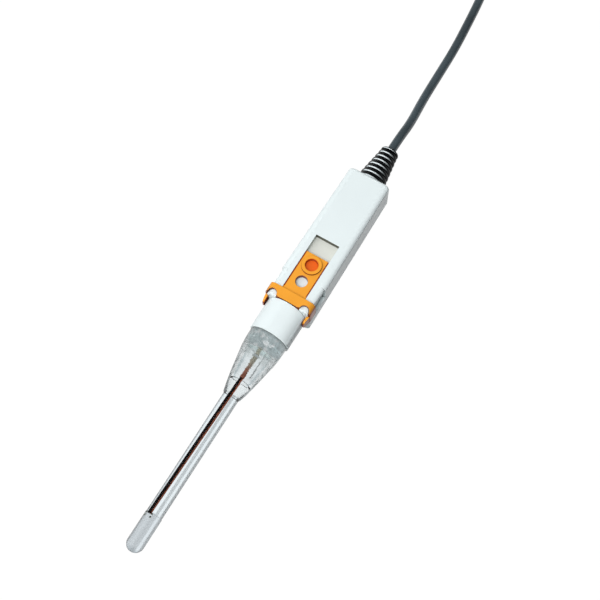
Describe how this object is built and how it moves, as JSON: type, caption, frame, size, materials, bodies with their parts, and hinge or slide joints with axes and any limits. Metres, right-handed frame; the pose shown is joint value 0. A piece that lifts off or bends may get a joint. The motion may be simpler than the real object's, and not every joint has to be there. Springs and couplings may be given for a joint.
{
  "type": "ph electrode",
  "caption": "Combination pH electrode: glass stem with a domed sensing tip, clear collar, flat handle with a sliding filler-port cover, ribbed strain relief and a coaxial lead with its plug.",
  "frame": {"origin": "under the middle of the body's length (stem tip to strain relief), on the flat rear face of the handle; the lead isn't counted", "axes": "+Y along the stem's axis from the sensing tip to the lead, +Z out of the handle's front where the port cover slides, +X to the right seen from the front with the lead at the top"},
  "size_m": [0.0326, 0.5302, 0.0206],
  "materials": {
    "white_plastic": "smooth white moulding",
    "orange_plastic": "smooth orange moulding",
    "natural_plastic": "translucent natural moulding",
    "clear_plastic": "clear polished moulding",
    "glass": "clear drawn glass",
    "dark_red": "dark red rod",
    "black_rubber": "glossy black elastomer",
    "seal_rubber": "soft black elastomer",
    "cable_jacket": "dark slate jacket",
    "white_insulator": "white insulator",
    "ceramic": "porous white ceramic",
    "silver": "silver wire",
    "nickel": "nickel-plated brass",
    "gold": "gold-plated contact",
    "board": "green board",
    "lead_red": "red wire insulation",
    "tie_black": "black tie"
  },
  "bodies": {
    "body": {"front_shell": "white_plastic", "rear_shell": "white_plastic", "port_seal": "seal_rubber", "filler_chamber": "natural_plastic", "port_spout": "natural_plastic", "chamber_cap": "natural_plastic", "clear_collar": "clear_plastic", "collar_seal": "seal_rubber", "stem_tube": "glass", "sensing_bulb": "glass", "inner_tube": "glass", "inner_stopper": "seal_rubber", "measuring_electrode": "dark_red", "electrode_sleeve": "natural_plastic", "electrode_bush": "white_insulator", "reference_wire": "silver", "ceramic_junction": "ceramic", "terminal_board": "board", "signal_lead": "lead_red", "reference_lead": "white_insulator", "cable_clamp": "natural_plastic", "cable_end": "cable_jacket", "strain_relief": "black_rubber", "cord_lead": "cable_jacket", "cord_coil": "cable_jacket", "coil_tie": "tie_black", "cord_tail": "cable_jacket", "plug_cable": "cable_jacket", "plug_boot": "black_rubber", "plug_ferrule": "nickel", "plug_core": "nickel", "plug_insulator": "white_insulator", "plug_pin": "gold"},
    "cover": {"port_cover": "orange_plastic"},
    "nut": {"plug_nut": "nickel"}
  },
  "joints": [
    {"name": "port_slide", "type": "slide", "parent": "body", "child": "cover", "axis": [0, 1, 0], "range_m": [0, 0.0092]},
    {"name": "nut_turn", "type": "hinge", "parent": "body", "child": "nut", "pos_m": [-0.005, 0.408, 0.0073], "axis": [0, 1, 0], "continuous": true}
  ]
}
